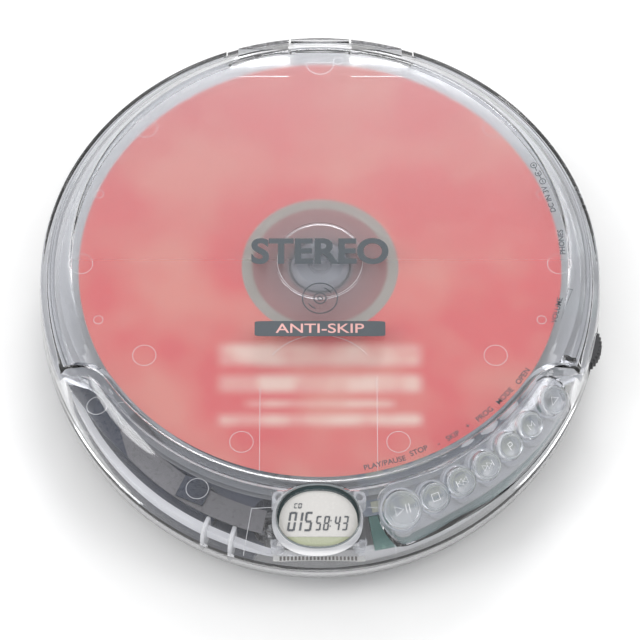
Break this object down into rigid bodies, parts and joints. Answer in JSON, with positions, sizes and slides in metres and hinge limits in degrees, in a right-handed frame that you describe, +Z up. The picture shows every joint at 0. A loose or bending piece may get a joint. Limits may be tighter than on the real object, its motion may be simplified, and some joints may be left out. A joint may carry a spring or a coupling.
{
  "type": "portable cd player",
  "caption": "Round portable compact disc player in clear plastic, with a hinged lid, a row of round buttons, an oval display, a thumb wheel, jacks and a battery compartment.",
  "frame": {"origin": "under the middle of the bounding box, on the surface that the rubber feet stand on", "axes": "+X to the right and +Y to the hinge at the back, seen by the user, +Z up"},
  "size_m": [0.1404, 0.149, 0.0283],
  "materials": {
    "clear_plastic": "clear polished moulding",
    "frosted_plastic": "clear plastic with a fine matt texture",
    "smoke_plastic": "dark blue-grey smoked plastic",
    "disc_label": "polycarbonate disc with a printed label",
    "white_plastic": "moulded white plastic",
    "black_plastic": "moulded black plastic",
    "rubber": "soft dark rubber",
    "chrome_trim": "bright plated plastic",
    "steel": "bright steel",
    "circuit_board": "glass-fibre board with green solder mask",
    "lcd_screen": "reflective liquid crystal glass",
    "cell_jacket": "printed film on a steel can"
  },
  "bodies": {
    "body": {"bottom_shell": "clear_plastic", "top_cover": "clear_plastic", "lcd_window": "clear_plastic", "lcd_holder": "clear_plastic", "button_surround": "frosted_plastic", "battery_box": "smoke_plastic", "key_mat": "white_plastic", "lcd_connector": "white_plastic", "drive_chassis": "black_plastic", "chip_decoder": "black_plastic", "chip_memory": "black_plastic", "chip_servo": "black_plastic", "capacitor_1": "black_plastic", "capacitor_2": "black_plastic", "phones_jack": "black_plastic", "dc_jack": "black_plastic", "volume_pot": "black_plastic", "damper_1": "rubber", "damper_2": "rubber", "damper_3": "rubber", "damper_4": "rubber", "foot_1": "rubber", "foot_2": "rubber", "foot_3": "rubber", "foot_4": "rubber", "foot_5": "rubber", "lcd_bezel": "chrome_trim", "spindle_motor": "steel", "guide_rod_left": "steel", "guide_rod_right": "steel", "feed_motor": "steel", "crystal": "steel", "battery_contact_1": "steel", "battery_contact_2": "steel", "screw_1": "steel", "screw_2": "steel", "screw_3": "steel", "screw_4": "steel", "key_board": "circuit_board", "main_board": "circuit_board", "lcd_panel": "lcd_screen", "cell_1": "cell_jacket", "cell_2": "cell_jacket"},
    "lid": {"lid": "clear_plastic"},
    "spindle": {"turntable": "black_plastic", "compact_disc": "disc_label"},
    "pickup": {"pickup_sled": "black_plastic"},
    "lens": {"pickup_lens": "clear_plastic"},
    "gear": {"drive_gear": "white_plastic"},
    "worm": {"feed_worm": "steel"},
    "volume": {"volume_wheel": "black_plastic"},
    "latch": {"latch_hook": "white_plastic"},
    "door": {"battery_door": "clear_plastic"},
    "button_play": {"button_play": "frosted_plastic"},
    "button_stop": {"button_stop": "frosted_plastic"},
    "button_skip_back": {"button_skip_back": "frosted_plastic"},
    "button_skip_forward": {"button_skip_forward": "frosted_plastic"},
    "button_program": {"button_program": "frosted_plastic"},
    "button_mode": {"button_mode": "frosted_plastic"},
    "button_open": {"button_open": "frosted_plastic"}
  },
  "joints": [
    {"name": "lid_hinge", "type": "hinge", "parent": "body", "child": "lid", "pos_m": [0, 0.0699, 0.0206], "axis": [-1, 0, 0], "range_deg": [0, 42]},
    {"name": "spindle_spin", "type": "hinge", "parent": "body", "child": "spindle", "pos_m": [0, 0.0043, 0], "axis": [0, 0, 1], "continuous": true},
    {"name": "pickup_slide", "type": "slide", "parent": "body", "child": "pickup", "axis": [0, 1, 0], "range_m": [0, 0.033]},
    {"name": "lens_focus", "type": "slide", "parent": "pickup", "child": "lens", "axis": [0, 0, 1], "range_m": [-0.0004, 0.0004], "stiffness_N_per_m": 40},
    {"name": "gear_turn", "type": "hinge", "parent": "body", "child": "gear", "pos_m": [0.0273, 0.0323, 0], "axis": [0, 0, 1], "range_deg": [-271, 0]},
    {"name": "worm_turn", "type": "hinge", "parent": "body", "child": "worm", "pos_m": [0.0364, 0.0043, 0.0146], "axis": [0, 1, 0], "range_deg": [0, 2980]},
    {"name": "volume_turn", "type": "hinge", "parent": "body", "child": "volume", "pos_m": [0.0619, -0.0137, 0], "axis": [0, 0, 1], "range_deg": [-140, 140]},
    {"name": "play_press", "type": "slide", "parent": "body", "child": "button_play", "axis": [-0.1336, 0.4598, -0.8779], "range_m": [0, 0.0006], "stiffness_N_per_m": 400},
    {"name": "stop_press", "type": "slide", "parent": "body", "child": "button_stop", "axis": [-0.1946, 0.4564, -0.8682], "range_m": [0, 0.0006], "stiffness_N_per_m": 400},
    {"name": "skip_back_press", "type": "slide", "parent": "body", "child": "button_skip_back", "axis": [-0.2517, 0.4503, -0.8567], "range_m": [0, 0.0006], "stiffness_N_per_m": 400},
    {"name": "skip_forward_press", "type": "slide", "parent": "body", "child": "button_skip_forward", "axis": [-0.3135, 0.4395, -0.8418], "range_m": [0, 0.0006], "stiffness_N_per_m": 400},
    {"name": "program_press", "type": "slide", "parent": "body", "child": "button_program", "axis": [-0.3787, 0.4221, -0.8236], "range_m": [0, 0.0006], "stiffness_N_per_m": 400},
    {"name": "mode_press", "type": "slide", "parent": "body", "child": "button_mode", "axis": [-0.444, 0.397, -0.8033], "range_m": [0, 0.0006], "stiffness_N_per_m": 400},
    {"name": "open_press", "type": "slide", "parent": "body", "child": "button_open", "axis": [-0.5229, 0.3527, -0.776], "range_m": [0, 0.0006], "stiffness_N_per_m": 400},
    {"name": "latch_slide", "type": "slide", "parent": "body", "child": "latch", "axis": [0, -1, 0], "range_m": [0, 0.0006]},
    {"name": "door_slide", "type": "slide", "parent": "body", "child": "door", "axis": [-0.6226, -0.7826, 0], "range_m": [0, 0.008]}
  ],
  "couplings": [
    {"joint": "gear_turn", "follows": "pickup_slide", "rad_per_m": -142.86},
    {"joint": "worm_turn", "follows": "pickup_slide", "rad_per_m": 1571.4},
    {"joint": "latch_slide", "follows": "open_press", "ratio": 1}
  ]
}
